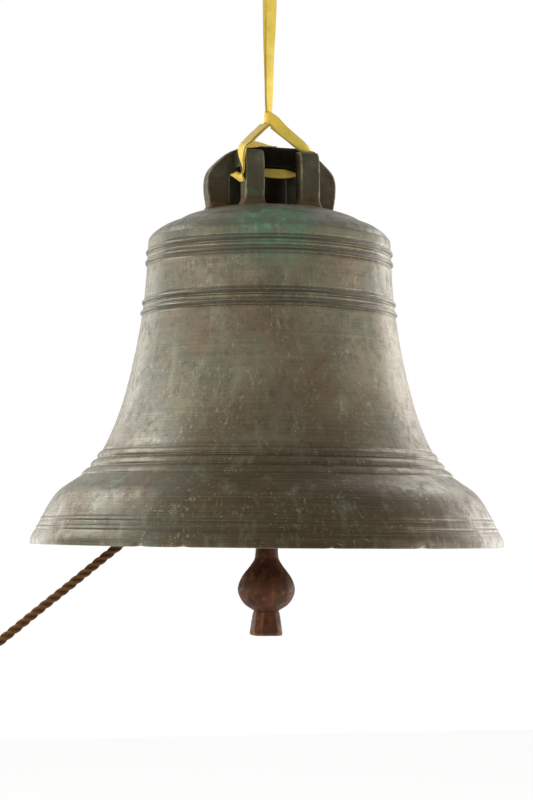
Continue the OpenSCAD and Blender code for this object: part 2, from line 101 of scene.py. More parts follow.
def add(tree, kind, inputs=None, **settings):
    """Adds a node with its settings, its fixed inputs and its links."""
    node = tree.nodes.new(kind)
    for name, value in settings.items():
        setattr(node, name, value)
    for key, value in (inputs or {}).items():
        if isinstance(value, bpy.types.NodeSocket):
            tree.links.new(value, node.inputs[key])
        else:
            node.inputs[key].default_value = value
    return node


def empty_tree(owner):
    """The emptied node tree of a new material or world."""
    owner.use_nodes = True
    owner.node_tree.nodes.clear()
    return owner.node_tree


def start_finish(name):
    """A new material, its node tree and the socket that gives places on the piece."""
    material = bpy.data.materials.new(name)
    tree = empty_tree(material)
    return material, tree, add(tree, "ShaderNodeTexCoord").outputs["Object"]


def end_finish(tree, colour, height, depth, strength, values, **under):
    """Adds the shader with its colour, its other values and a fine relief, depth in metres, over the one under it."""
    bump = add(tree, "ShaderNodeBump", {"Height": height, "Distance": depth, "Strength": strength, **under})
    shader = add(tree, "ShaderNodeBsdfPrincipled", {"Base Color": colour, "Normal": bump.outputs["Normal"], **values})
    add(tree, "ShaderNodeOutputMaterial", {"Surface": shader.outputs["BSDF"]})


def mask_of(tree, kind, inputs, output, low, high, within=1.0, **settings):
    """Adds a node and makes a soft mask of one of its values: 0 at low, and at high the mask that it lies within."""
    value = add(tree, kind, inputs, **settings).outputs[output]
    return add(tree, "ShaderNodeMapRange", {
        "Value": value, "From Min": low, "From Max": high, "To Max": within},
        interpolation_type="SMOOTHSTEP").outputs["Result"]


def patch(tree, place, grain_mm, low, high, within=1.0, stretch=(1, 1, 1), detail=4.0, rough=0.55, seed=0.0):
    """Soft-edged patches of a grain size in millimetres, where a noise goes from low to high."""
    moved = add(tree, "ShaderNodeMapping", {
        "Vector": place, "Location": (seed, seed * 0.37, seed * 0.71), "Scale": stretch}).outputs["Vector"]
    return mask_of(tree, "ShaderNodeTexNoise", {
        "Vector": moved, "Scale": 1000.0 / grain_mm, "Detail": detail, "Roughness": rough}, "Fac", low, high, within)


def wear_and_painted_light(tree, low, high):
    """Where a piece stands proud (low under high) or lies in a hollow (high under low), from its own mesh: for wear,
    painted shade and painted highlights.
    """
    return mask_of(tree, "ShaderNodeAttribute", None, "Fac", low, high, attribute_name="proud")


def along(tree, place, way, low, high, within=1.0):
    """A mask that goes from 0 to full between two distances along a direction."""
    return mask_of(
        tree, "ShaderNodeVectorMath", {0: place, 1: way}, "Value", low, high, within, operation="DOT_PRODUCT")


def coats(tree, base, *layers):
    """Lays coats over a base colour, each with its sRGB hex value and the masks and strengths that it shows by."""
    colour = shade(base)
    for code, mask, *others in layers:
        for other in others:
            mask = add(tree, "ShaderNodeMath", {0: mask, 1: other}, operation="MULTIPLY").outputs[0]
        colour = add(tree, "ShaderNodeMix", {0: mask, 6: colour, 7: shade(code)}, data_type="RGBA").outputs[2]
    return colour


# Shapes

def slope(stations, i):
    """The slope of a smooth line at one of its stations."""
    a, b = max(i - 1, 0), min(i + 1, len(stations) - 1)
    return (stations[b][1] - stations[a][1]) / (stations[b][0] - stations[a][0])


def curve(stations, x):
    """A smooth line through stations, as the part's own walls follow."""
    i = 0
    while i < len(stations) - 2 and x >= stations[i + 1][0]:
        i += 1
    (x0, y0), (x1, y1) = stations[i], stations[i + 1]
    h = x1 - x0
    t = (x - x0) / h
    return (y0 * (2 * t ** 3 - 3 * t * t + 1) + slope(stations, i) * h * (t ** 3 - 2 * t * t + t)
            + y1 * (3 * t * t - 2 * t ** 3) + slope(stations, i + 1) * h * (t ** 3 - t * t))


def unit(v):
    """Each vector at length 1."""
    return v / np.maximum(np.linalg.norm(v, axis=-1, keepdims=True), 1e-12)


def run_of(line):
    """Distance along a line to each of its points."""
    return np.concatenate([[0], np.cumsum(np.linalg.norm(np.diff(line, axis=0), axis=1))])


def circle(columns):
    """The angles of a closed ring's points."""
    return np.linspace(0, 2 * math.pi, columns, endpoint=False)


def ease(route, step):
    """A smooth line through a route's points, about one point every step millimetres."""
    p = np.asarray(route, float)
    p = np.vstack([2 * p[0] - p[1], p, 2 * p[-1] - p[-2]])
    out = []
    for i in range(1, len(p) - 2):
        before, here, then, after = p[i - 1:i + 3]
        count = max(2, int(round(np.linalg.norm(then[:3] - here[:3]) / step)))
        for t in np.arange(count) / count:
            out.append(0.5 * (2 * here + (then - before) * t + (2 * before - 5 * here + 4 * then - after) * t * t
                              + (3 * here - before - 3 * then + after) * t ** 3))
    out.append(p[-2])
    return np.array(out)


def frames_along(line, closed=False):
    """Two directions across a line at each point, turning no more than the line does."""
    ahead = unit(np.roll(line, -1, 0) - np.roll(line, 1, 0)) if closed else unit(np.gradient(line, axis=0))
    side = np.zeros_like(line)
    start = np.array([0.0, 1.0, 0.0]) if abs(ahead[0][1]) < 0.8 else np.array([0.0, 0.0, 1.0])
    side[0] = unit(start - ahead[0] * (start @ ahead[0]))
    for i in range(1, len(line)):
        side[i] = unit(side[i - 1] - ahead[i] * (side[i - 1] @ ahead[i]))
    return side, np.cross(ahead, side)


def write_marks(mesh, name, kind, field, marks):
    """Writes one mark for each point of a mesh, for its finish to read."""
    mesh.attributes.new(name, kind, "POINT").data.foreach_set(field, np.asarray(marks, np.float32).ravel())


def new_piece(name, points, faces, finish, proud=None):
    """A smooth-shaded mesh in metres from points in millimetres."""
    mesh = bpy.data.meshes.new(name)
    mesh.from_pydata((np.asarray(points, float) * MM).tolist(), [], faces)
    mesh.validate()
    mesh.shade_smooth()
    mesh.materials.append(finish)
    if proud is not None:
        write_marks(mesh, "proud", "FLOAT", "value", proud)
    return new_object(name, mesh)


def wall_faces(n, m, closed=False, start=0):
    """Faces over n rings of m points, closed round each ring, with flat ends unless the rings close on themselves."""
    here = np.arange(n * m).reshape(n, m) + start
    now, then = (here, np.roll(here, -1, 0)) if closed else (here[:-1], here[1:])
    faces = np.stack([now, np.roll(now, -1, 1), np.roll(then, -1, 1), then], -1).reshape(-1, 4).tolist()
    return faces if closed else faces + [here[0].tolist()[::-1], here[-1].tolist()]


def skin(name, rings, finish, closed=False, proud=None):
    """A tube over rings of points."""
    rings = np.asarray(rings, float)
    return new_piece(name, rings.reshape(-1, 3), wall_faces(*rings.shape[:2], closed), finish, proud)


def turned(name, profile, finish):
    """A body turned about the upright axis from heights and radii."""
    turn = circle(96)
    return skin(name, [np.stack([r * np.cos(turn), r * np.sin(turn), 0 * turn + z], -1) for z, r in profile], finish)


def tube(name, line, radius, finish, columns=28):
    """A round bar along a line; the radius is one number, or one for each point."""
    side, up = frames_along(line)
    turn = circle(columns)[None, :, None]
    r = np.broadcast_to(np.asarray(radius, float), (len(line),))[:, None, None]
    rings = line[:, None, :] + r * (side[:, None, :] * np.cos(turn) + up[:, None, :] * np.sin(turn))
    return skin(name, rings, finish)


def ball_of(z, rx, ry, rz):
    """The rings of a ball on the upright axis, squashed to three radii."""
    turn, pole = circle(32), 0.02
    return [np.stack([rx * math.sin(a) * np.cos(turn), ry * math.sin(a) * np.sin(turn),
                      0 * turn + z - rz * math.cos(a)], -1) for a in np.linspace(pole, math.pi - pole, 24)]


def mesh_arrays(mesh):
    """A mesh's points in millimetres, its point normals and its edges."""
    arrays = []
    for items, field, columns, kind in (
            (mesh.vertices, "co", 3, np.float32), (mesh.vertex_normals, "vector", 3, np.float32),
            (mesh.edges, "vertices", 2, np.int32)):
        arrays.append(np.zeros((len(items), columns), kind))
        items.foreach_get(field, arrays[-1].ravel())
    return arrays[0] / MM, arrays[1], arrays[2]


def mark_proud(mesh, depth):
    """Marks how far each point stands out of its surroundings, from -1 in a hollow to 1 on an edge."""
    passes = 8
    points, normals, edges = mesh_arrays(mesh)
    count = len(points)
    near = np.bincount(edges.ravel(), minlength=count)[:, None]
    eased = points.astype(float)
    for _ in range(passes):
        total = np.stack([np.bincount(edges[:, 0], eased[edges[:, 1], k], count)
                          + np.bincount(edges[:, 1], eased[edges[:, 0], k], count) for k in range(3)], -1)
        eased = total / np.maximum(near, 1)
    write_marks(mesh, "proud", "FLOAT", "value", np.clip(((points - eased) * normals).sum(1) / depth, -1, 1))


def unevenness(points):
    """A smooth, repeatable unevenness over places in millimetres, between about -1 and 1."""
    rng = np.random.default_rng(7)
    total = np.zeros(len(points))
    longest = 90.0
    for wave in (longest, 52.0, 31.0, 17.0):
        for _ in range(4):
            way = unit(rng.normal(size=3))
            total += np.sin(points @ way * 2 * math.pi / wave + rng.uniform(0, 6.28)) * wave / longest * 0.3
    return total


def cast_together(name, pieces, finish, voxel, smooth, proud_depth, lumps=0.0):
    """Joins overlapping pieces into one skin and eases its edges, as a casting or a forging has them."""
    with bpy.context.temp_override(active_object=pieces[0], selected_editable_objects=pieces, selected_objects=pieces):
        bpy.ops.object.join()
    piece = pieces[0]
    remesh = piece.modifiers.new("one_skin", "REMESH")
    remesh.mode = "VOXEL"
    remesh.voxel_size = voxel * MM
    soften = piece.modifiers.new("soften", "SMOOTH")
    soften.factor = 0.5
    soften.iterations = smooth
    done = bpy.data.meshes.new_from_object(piece.evaluated_get(bpy.context.evaluated_depsgraph_get()))
    piece.modifiers.clear()
    piece.data = done
    piece.name = done.name = name
    done.materials.clear()
    done.materials.append(finish)
    done.shade_smooth()
    if lumps:
        points, normals, _ = mesh_arrays(done)
        points = points + normals * (lumps * unevenness(points))[:, None]
        done.vertices.foreach_set("co", (points * MM).astype(np.float32).ravel())
        done.update()
    mark_proud(done, proud_depth)
    return piece


def settle(piece, body, slot_name, *nodes):
    """Lets a piece ride on its body and hides the solids that it stands for; its slot name is not used."""
    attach(piece, body)
    if nodes:
        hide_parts(*nodes)


# The rope, the sling and its shackle come first, because they are the free cords.

def laid_rope_fibre():
    """Tarred hemp: brown, matt and dusty on top of each yarn, with painted shade nearly black between the strands."""
    material, tree, place = start_finish("laid_hemp_tarred")
    colour = coats(tree, "3F2914",
        ("563B1E", patch(tree, place, 4, 0.35, 0.65, seed=3.0)),
        ("4B2D16", patch(tree, place, 120, 0.35, 0.65, seed=8.0)),
        # Painted shade, nearly black, where the strands meet
        ("241206", wear_and_painted_light(tree, 0.1, -0.7)),
        ("7C5A30", wear_and_painted_light(tree, 0.35, 0.95), 0.5))
    fibres = add(tree, "ShaderNodeTexNoise", {"Vector": place, "Scale": 900.0, "Detail": 3.0}).outputs["Fac"]
    end_finish(tree, colour, fibres, 0.0006, 0.8, {"Roughness": 0.86, "Specular IOR Level": 0.2})
    return material


def woven_polyester():
    """Yellow polyester webbing: flat woven ribs 1.8 mm wide, a soft sheen, and painted shade along the edges of each
    ply.
    """
    material, tree, place = start_finish("woven_polyester_yellow")
    thread = add(tree, "ShaderNodeAttribute", attribute_name="thread").outputs["Vector"]
    ribs, picks = [add(tree, "ShaderNodeTexWave", {
        "Vector": thread, "Scale": scale, "Distortion": distortion, "Detail": 1.0}, bands_direction=way).outputs["Fac"]
        for way, scale, distortion in (("Y", 175.0, 0.4), ("X", 120.0, 0.6))]
    weave = add(tree, "ShaderNodeMath", {0: ribs, 1: picks}, operation="MULTIPLY").outputs[0]
    colour = coats(tree, "E4C23A",
        ("F8DE62", patch(tree, place, 60, 0.3, 0.7)),
        ("B89020", patch(tree, place, 14, 0.5, 0.75, seed=5.0), 0.25),
        ("A9861C", weave, 0.22),
        # Painted shade along each ply's edges
        ("8C6A12", wear_and_painted_light(tree, 0.0, -1.0), 0.8))
    end_finish(tree, colour, weave, 0.0005, 0.7, {
        "IOR": 1.55, "Roughness": 0.6, "Sheen Weight": 0.25, "Sheen Roughness": 0.4})
    return material


def galvanised():
    """Hot-dip galvanised steel: dull grey spangle, rubbed brighter where it bears."""
    material, tree, place = start_finish("galvanised_steel_dipped")
    spangle = add(tree, "ShaderNodeTexVoronoi", {"Vector": place, "Scale": 260.0}).outputs["Color"]
    colour = coats(tree, "8E9294",
        ("B4B8B9", spangle),
        ("6E6A62", patch(tree, place, 22, 0.52, 0.72)),
        ("CFD2D3", wear_and_painted_light(tree, 0.3, 0.9)))
    grain = add(tree, "ShaderNodeTexNoise", {"Vector": place, "Scale": 700.0}).outputs["Fac"]
    end_finish(tree, colour, grain, 0.0003, 0.5, {"Metallic": 0.85, "Roughness": 0.48})
    return material


HEMP = laid_rope_fibre()
WEBBING = woven_polyester()

ROPE_ROUTE = [(x, 0, z) for x, z in zip((-44, *range(-84, -579, -38)), (
    -620, -653, -684, -715, -746, -777, -808, -839, -869, -900, -931, -961, -992, -1023, -1053))]
ROPE_WAY = unit(np.array([-38.0, 0.0, -30.0]))
ROPE_R = 9.0
TUCK_ROUTE = [(-43, -3, -620), (-40, -14, -612), (-33, -24, -598), (-36, -8, -586), (-38, 6, -590), (-30, 20, -604)]
STEP = 1.6  # between the rings of a rope
STEM_R = 23.0
# The webbing's routes: each station is a point in its middle, then the way that its face looks there.
LOOP_ROUTE = [
    (-16, -20, 49, -4, -4.5, 7), (-31, -35, 35, -4.6, -3.8, 7.6), (-46, -50, 21, -4.6, -3.8, 7.6),
    (-60.5, -66, 7, -4.8, -4, 7.4), (-71.5, -79, -5, -6, -5, 6), (-79.5, -87, -13, -8, -5, 4),
    (-83.6, -91, -23, -9, -3, 2), (-84.6, -95, -35, -9.6, -1, 0), (-84.4, -98, -48, -10, 1.6, 0),
    (-83.2, -101, -62, -10, 2.8, 0), (-84.5, -100, -71, -9.5, 3, -3.5), (-88.5, -97, -79, -7, 3.2, -7),
    (-90.5, -88, -80.5, -6, 3.3, -8), (-90, -76, -79, -6, 3.3, -8), (-89, -65, -77, -6, 3.3, -8),
    (-87, -55, -74, -4.5, 2.2, -8.8), (-80, -48.5, -66.5, -1.5, 0.6, -10), (-68, -46, -63, 0, -1, -9),
    (-54, -46, -60.5, 0, 1, -10), (-43, -46.5, -60, 0, 4, -9), (-32, -48, -60, 0, 6.5, -7.5),
    (-20, -50, -60.5, 0, 8, -5.5), (0, -50, -60.5, 0, 8.5, -5), (20, -50, -60, 0, 8, -5.5),
    (32, -48, -59.5, 0, 6.5, -7.5), (44, -46.5, -59.5, 0, 4, -9), (57, -46, -59.5, 0, 1, -10),
    (69, -46, -60, 1, 0, -10), (79, -47, -59, 4, 0, -8), (85, -49, -51, 9, 0, -3), (84.5, -51, -41, 10, 0, -1),
    (84, -53, -30, 10, 0, 0), (83.4, -54, -19.5, 9, 0, 4), (77, -51.5, -12.4, 3, -1, 9.5),
    (68, -47.6, -7.4, 2, -6, 7), (58, -43, 1.8, 1, -9, 4), (46, -37.5, 13, 0, -10, 3), (32, -31, 26.5, 0, -10, 2),
    (16, -23.5, 41, 0, -10, 1), (4, -18, 52, 0, -10, 1)]
STANDING_ROUTE = [(-8, -14, z, x, y, 0) for z, x, y in (
    (74, 7.3, -6.8), (110, 5.7, -8.2), (150, 5, -8.7), (190, 3.9, -9.2), (230, 2.6, -9.7), (270, 0.9, -10),
    (310, -1.2, -9.9), (350, -2.6, -9.7))]
WRAP_ROUTE = [
    (33, -32.6, 25.6, 0, -10, 2), (22, -27.9, 36, 0, -10, 1.6), (12, -25.6, 46, 0, -10, 1), (3, -26.2, 55, 0, -10, 1),
    (-6, -26, 60.5, -2, -9, 2), (-13, -21, 65, -8, -5, 2), (-16, -12, 66, -7, 6, 0), (-10, -7, 64, 0, 10, 0),
    (2, -8, 60, 6, 8, -2), (8, -13, 55, 9, 0, -3)]
TONGUE_ROUTE = [
    (-78, -84, -11, -3, -8, 5), (-68, -75, -8, -2, -7, 5), (-56, -66, -4, -1, -7, 6), (-43, -58, -1, -1, -6, 7),
    (-30, -51, -0.5, 0, -5, 8), (-16, -46.5, -1.5, 0, -3, 9), (-3, -43, -4, 0, 0, 10)]
SHACKLE_AT = np.array([-8.0, -14.0, 363.1])


def laid_rope(name, line, radius, lay, closed=False):
    """Three strands of yarn laid round each other along a line, each yarn a ridge of its own."""
    strands, yarns, yarn_twist = 3, 5, 1.6
    strand_r = radius * 0.5
    run = run_of(line)
    turns = round(run[-1] / lay) if closed else run[-1] / lay
    side, up = frames_along(line, closed)
    spin = circle(20)[None, :]
    points, faces, marks = [], [], []
    for k in range(strands):
        turn = 2 * math.pi * (run / run[-1] * turns + k / strands)
        out = side * np.cos(turn)[:, None] + up * np.sin(turn)[:, None]
        middle = line + out * (radius - strand_r)
        across = unit(np.cross(np.gradient(line, axis=0), out))
        yarn = np.cos(yarns * spin + 2 * math.pi * yarn_twist * (run / lay)[:, None])
        ring_r = strand_r * (1.04 + 0.055 * np.abs(yarn) ** 0.7)
        rings = (middle[:, None, :] + out[:, None, :] * (ring_r * np.cos(spin))[..., None]
                 + across[:, None, :] * (ring_r * 1.08 * np.sin(spin))[..., None])
        faces += wall_faces(*ring_r.shape, closed, k * ring_r.size)
        points.append(rings.reshape(-1, 3))
        # The marks: high on each yarn and on the strand's outer side, low where the strands meet, for the painted
        # shade there
        marks.append(np.clip(0.75 * np.abs(yarn) - 0.55 + 0.8 * np.cos(spin), -1, 1).ravel())
    return new_piece(name, np.concatenate(points), faces, HEMP, np.concatenate(marks))


def webbing(name, route, width=25.0, thickness=1.9, plies=2, apart=(1.2, 1.2)):
    """Plies of webbing along a route, each turned to face its own way; apart is how far they lie out of line."""
    gap, cup_depth, wander, selvedge = 0.6, 0.35, 0.4, 1.2
    route = np.array(route, float)
    eased = ease(np.hstack([route[:, :3], unit(route[:, 3:]) * 10]), 2.5)
    line, face = eased[:, :3], unit(eased[:, 3:])
    ahead = unit(np.gradient(line, axis=0))
    across = unit(np.cross(ahead, face))
    through = np.cross(across, ahead)
    run = run_of(line)
    half = width / 2
    flat = np.linspace(0.6 - half, half - 0.6, 13)
    section = [(x, thickness / 2) for x in flat] + [(half, thickness / 4), (half, -thickness / 4)]
    section += [(x, -thickness / 2) for x in flat[::-1]] + [(-half, -thickness / 4), (-half, thickness / 4)]
    x, z = np.array(section).T
    n, m = len(line), len(x)
    edge = np.clip((np.abs(x) - half + selvedge) / selvedge, 0, 1)
    cup = cup_depth * (1 - (x / half) ** 2)
    thread = np.zeros((n, m, 3))
    thread[..., 0], thread[..., 1] = run[:, None] * MM, x[None, :] * MM
    points, quads = [], []
    for ply in range(plies):
        place = ply - (plies - 1) / 2
        sway = place * np.interp(run / run[-1], np.linspace(0, 1, len(apart)), apart) + wander * np.sin(run / 31 + ply)
        points.append((line[:, None, :] + across[:, None, :] * (x[None, :] + sway[:, None])[..., None]
                       + through[:, None, :] * (place * (thickness + gap) + z + cup)[None, :, None]).reshape(-1, 3))
        quads += wall_faces(n, m, start=ply * n * m)
    # Each ply's edges are marked low, for painted shade along them
    piece = new_piece(name, np.concatenate(points), quads, WEBBING, np.tile(-edge * 0.8, n * plies))
    write_marks(piece.data, "thread", "FLOAT_VECTOR", "vector", [thread] * plies)
    return piece, line


def make_rope():
    """The rope, its turns round the clapper's stem and the knot that it is held by."""
    sag, coil_r, coil_rope_r, coil_low, coil_turns = 1.2, STEM_R + 8.6, 8.6, -623.0, 3.1
    line = ease(ROPE_ROUTE, STEP)
    line[:, 2] -= sag * np.sin(np.linspace(0, math.pi, len(line)))
    rope = laid_rope("rope_three_strand", line, ROPE_R, lay=60.0)
    turn = np.linspace(0, 2 * math.pi * coil_turns, 260)
    coil = np.stack([-coil_r * np.cos(turn), coil_r * np.sin(turn), coil_low + 17.6 * turn / (2 * math.pi) * 0.68], -1)
    hitch = laid_rope("rope_hitch_turns", coil, coil_rope_r, lay=52.0)
    tuck = laid_rope("rope_hitch_tuck", ease(TUCK_ROUTE, STEP), 8.0, lay=52.0)
    # The knot is a trefoil, 20 mm past the end of the rope's line, with a short tail
    centre = np.array(ROPE_ROUTE[-1], float) + ROPE_WAY * 20.3
    t = circle(240)
    trefoil = np.stack([np.sin(t) + 2 * np.sin(2 * t), np.cos(t) - 2 * np.cos(2 * t), -1.5 * np.sin(3 * t)], -1) * 4.6
    side, level = np.cross(ROPE_WAY, [0, 1, 0]), np.array([0, 1.0, 0])
    trefoil = centre + trefoil[:, :1] * side + trefoil[:, 1:2] * level + trefoil[:, 2:] * ROPE_WAY * 1.25
    knot = laid_rope("rope_knot", trefoil, 7.6, lay=40.0, closed=True)
    tail_route = [centre + ROPE_WAY * far + level * aside for far, aside in ((4, 0), (12, 2), (20, 3), (29, 3))]
    tail = laid_rope("rope_tail", ease(tail_route, STEP), 8.0, lay=60.0)
    settle(knot, "bell", "rope", "rope_end_knot")
    settle(tail, "bell", "rope")
    settle(hitch, "clapper", "rope", "rope_hitch")
    settle(tuck, "clapper", "rope")
    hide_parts("rope")
    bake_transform(rope)


def make_sling():
    """The endless sling: doubled webbing round the front canons, through its own bight and up to the shackle."""
    loop, loop_line = webbing("sling_loop_webbing", LOOP_ROUTE, apart=(1, 5, 4, 5, 3, 2, 2, 2, 2, 2, 2, 0.5, 0.5))
    standing, standing_line = webbing("sling_standing_webbing", STANDING_ROUTE, width=22.0, apart=(0, 4, 9))
    wrap, _ = webbing("sling_choke_wrap", WRAP_ROUTE, plies=1)
    tongue, _ = webbing("sling_tongue", TONGUE_ROUTE, plies=1, width=24.0)
    bight_r, angle = 10.6, np.radians(np.linspace(-115, 115, 40))
    looks = np.stack([0 * angle, np.sin(angle) * bight_r, np.cos(angle) * bight_r], -1)
    eye, _ = webbing("sling_eye_bight", np.hstack([looks + SHACKLE_AT, looks]), plies=1, thickness=3.6)
    for piece, node in ((loop, "sling_loop"), (standing, "sling_standing"), (wrap, "sling_choke"), (eye, "sling_eye")):
        settle(piece, "bell", "webbing", node)
    settle(tongue, "bell", "webbing")
    for piece, line, far_end, others in (
            (loop, loop_line, "object", [wrap, tongue]), (standing, standing_line, "fitting", [eye, *make_shackle()])):
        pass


def make_shackle():
    """The bow shackle over the view: a forged bow with two eyes, and its pin with a head."""
    x, y, z = SHACKLE_AT
    bow_r, bar_r = 25, 7.0
    finish = galvanised()
    turn = np.linspace(0, math.pi, 40)
    right_leg, left_leg = ([[x + side * bow_r, y, z - 4], [x + side * bow_r, y, z + 14]] for side in (1, -1))
    arch = np.stack([x + bow_r * np.cos(turn), y + 0 * turn, z + 30 + bow_r * np.sin(turn)], -1)
    bar = tube("shackle_bar", ease(np.vstack([right_leg, arch, left_leg[::-1]]), 2.0), bar_r, finish)
    eyes = [tube("shackle_eye", np.array([[x + side * bow_r + d, y, z] for d in (-7, -5, 0, 5, 7)], float),
                 [13.5, 15, 15, 15, 13.5], finish) for side in (-1, 1)]
    bow = cast_together("shackle_bow_forged", [bar, *eyes], finish, voxel=1.0, smooth=4, proud_depth=0.35, lumps=0.12)
    pin = tube("shackle_pin_bar", np.array([[x + d, y, z] for d in (-35, -34, -33, 0, 34, 34.5, 40, 40.6)], float),
               [6.6, 8, 8, 8, 8, 12, 12, 11.2], finish, 48)
    settle(bow, "bell", "shackle_steel", "shackle_bow")
    settle(pin, "bell", "shackle_steel", "shackle_pin")
    return bow, pin


make_rope()
make_sling()
print("cords made")


# The bell itself. Its lines give a height above the mouth and the radius or the level thickness there.

WALL = [(0, 495), (13.5, 493.02), (30, 484), (80, 458), (111, 434.9), (142, 392), (170, 365), (212, 338),
        (289.44, 308.3), (388, 284), (505, 265), (640, 256)]
THICKNESS = [(0, 13), (39, 82.65), (104.8, 87), (152, 55), (212, 35), (388, 28), (640, 28)]
# The shoulder gives a radius and the height there
SHOULDER = [(150, 698), (182.86, 686.98), (201.94, 676.54), (222.08, 668.42), (239.04, 657.98), (249.64, 649.28),
            (256, 640)]
WALL_TOP, HEAD_TOP, HEAD_UNDER = 640.0, 696.8, 652.0
# Mouldings: their heights; how far they stand out and half their width; their groove's depth, place and width;
# then their painted light: the painted highlight on the upper side, painted shade with grime under them, painted
# shade with grime over them and the size of it all
MOULDINGS = [
    ((507, 485, 613, 591), (3.8, 4.6), (2.2, 6.4, 2.1), (0.8, 1.1, 0.28, 1.0)),
    ((35, 53), (1.1, 2.6), (0.9, 4.0, 1.3), (0.4, 0.2, 0.0, 0.6)),
    ((151, 169, 187), (3.3, 6.6), (1.0, 8.4, 1.9), (0.4, 0.13, 0.05, 1.5))]
# Knocks in the lip: way round from the front in degrees, width in degrees, depth, and height above the mouth
KNOCKS = [(-29, 1.1, 3.6, 3), (-18.5, 0.9, 3.0, 2), (-53, 0.8, 2.6, 21), (14, 0.7, 1.8, 1), (37, 1.3, 2.4, 2),
          (-71, 1.0, 2.2, 3), (96, 1.2, 3.0, 2), (131, 0.8, 2.4, 3), (-122, 1.4, 3.2, 2), (171, 1.0, 2.6, 4),
          (62, 0.6, 1.6, 14), (-96, 0.7, 2.0, 9)]


def bell_line(x, middle, width):
    """A bell-shaped bump: 1 at its middle."""
    return math.exp(-((x - middle) / width) ** 2)


def moulded(z):
    """How far the mouldings stand out of the wall, or cut into it, at a height above the mouth."""
    out = 0.0
    for places, (stand, half), (groove, groove_at, groove_w), _ in MOULDINGS:
        for place in places:
            d = abs(z - place)
            out += stand * math.sqrt(max(0.0, 1 - (d / half) ** 2)) - groove * bell_line(d, groove_at, groove_w)
    return out


def dirt_shade_and_highlight(z):
    """Painted shade with grime (below 0) under each moulding and in the corner over it, and a painted highlight (over
    0) along its upper side.
    """
    mark = 0.0
    for places, _, _, (painted_highlight, under, corner, size) in MOULDINGS:
        for place in places:
            d = (z - place) / size
            mark += painted_highlight * bell_line(d, 3.2, 1.5) - under * bell_line(d, -1.0, 1.9) - corner * bell_line(d, 7.2, 1.5)
    return min(max(mark, -1.0), 1.0)


def heights():
    """Heights for the wall's rings, close together at the lip and the mouldings."""
    z, out = 0.0, []
    while z < WALL_TOP:
        out.append(z)
        near = min(abs(z - place) for places, *_ in MOULDINGS for place in places)
        z += 0.6 if z < 4 else (0.75 if near < 11 else 4.0)
    return out + [WALL_TOP]


def bell_profile():
    """The bell's whole outline, out and in, as radius, height above the mouth and its mark of painted shade, painted
    highlight, grime and wear.
    """
    outline = [(curve(WALL, z) + moulded(z), z, dirt_shade_and_highlight(z)) for z in heights()]
    outline += [(r, curve(SHOULDER, r), 0.0) for r in np.linspace(255, 150, 40)]
    outline += [(146, 697.2, 0), (100, HEAD_TOP, 0), (40, HEAD_TOP, 0), (0.5, HEAD_TOP, 0)]
    inner = [(r, HEAD_UNDER, -0.2) for r in (0.5, 60, 120, 160)]
    corner_z, corner_r = 594, 58
    top_r = curve(WALL, corner_z) - curve(THICKNESS, corner_z)
    for a in np.radians(np.arange(90, -1, -7.5)):
        inner.append((top_r - corner_r + corner_r * math.cos(a), corner_z + corner_r * math.sin(a), -0.3))
    for z in np.concatenate([np.linspace(590, 40, 80), np.linspace(36, 1.2, 16)]):
        inner.append((curve(WALL, z) - curve(THICKNESS, z), z, 0.0))
    lip = [(482.6, 0.35, 0.8), (485, 0.0, 1.0), (489, 0.0, 1.0), (493, 0.0, 1.0)]
    profile = np.array(outline[1:] + inner + lip, float)
    profile[0] = (495.0, 0.7, 1.0)
    return profile


def make_bell():
    """The bell: one casting, its wall swept from the founder's own lines, with knocks in its lip."""
    profile = bell_profile()
    columns, sand_lumps, out_of_round = 420, 0.35, 0.5
    turn = circle(columns)
    r, above, proud = (np.repeat(profile[:, k:k + 1], columns, 1) for k in range(3))
    points = np.stack([r * np.cos(turn), r * np.sin(turn), above + MOUTH], -1)
    bumps = unevenness(points.reshape(-1, 3)).reshape(r.shape) * sand_lumps
    bumps = bumps + np.sin(3 * turn + 1.1)[None, :] * out_of_round
    away = np.stack([np.cos(turn), np.sin(turn), 0 * turn], -1)[None]
    points = points + away * bumps[..., None]
    for at, wide, deep, high in KNOCKS:
        way = FRONT - math.pi / 2 + math.radians(at)
        off = np.degrees(np.angle(np.exp(1j * (turn - way))))
        dent = deep * np.exp(-(off / wide) ** 2)[None, :] * np.exp(-((above - high) / 7.0) ** 2) * (r > 440)
        points = points - away * dent[..., None]
        points[..., 2] += 0.6 * dent * (above < 6)
        proud = np.clip(proud + dent / deep * 0.9, -1, 1)
    # The faces that the clapper strikes, 22 mm above the mouth, hammered smooth and a little hollow
    for side in (-1, 1):
        off = np.hypot(points[..., 0], (points[..., 2] - MOUTH - 22) * 1.3)
        struck = np.exp(-(off / 34.0) ** 2) * (points[..., 1] * side > 0) * (r < 440) * (r > 300) * (above < 80)
        points = points + away * (1.6 * struck)[..., None]
        proud = np.where(struck > 0.05, np.maximum(proud, struck), proud)
    bell = skin("bell_cast", points, bronze_patina("cast_bronze_patina"), closed=True, proud=proud)
    settle(bell, "bell", "bell_metal", "bell_shell")


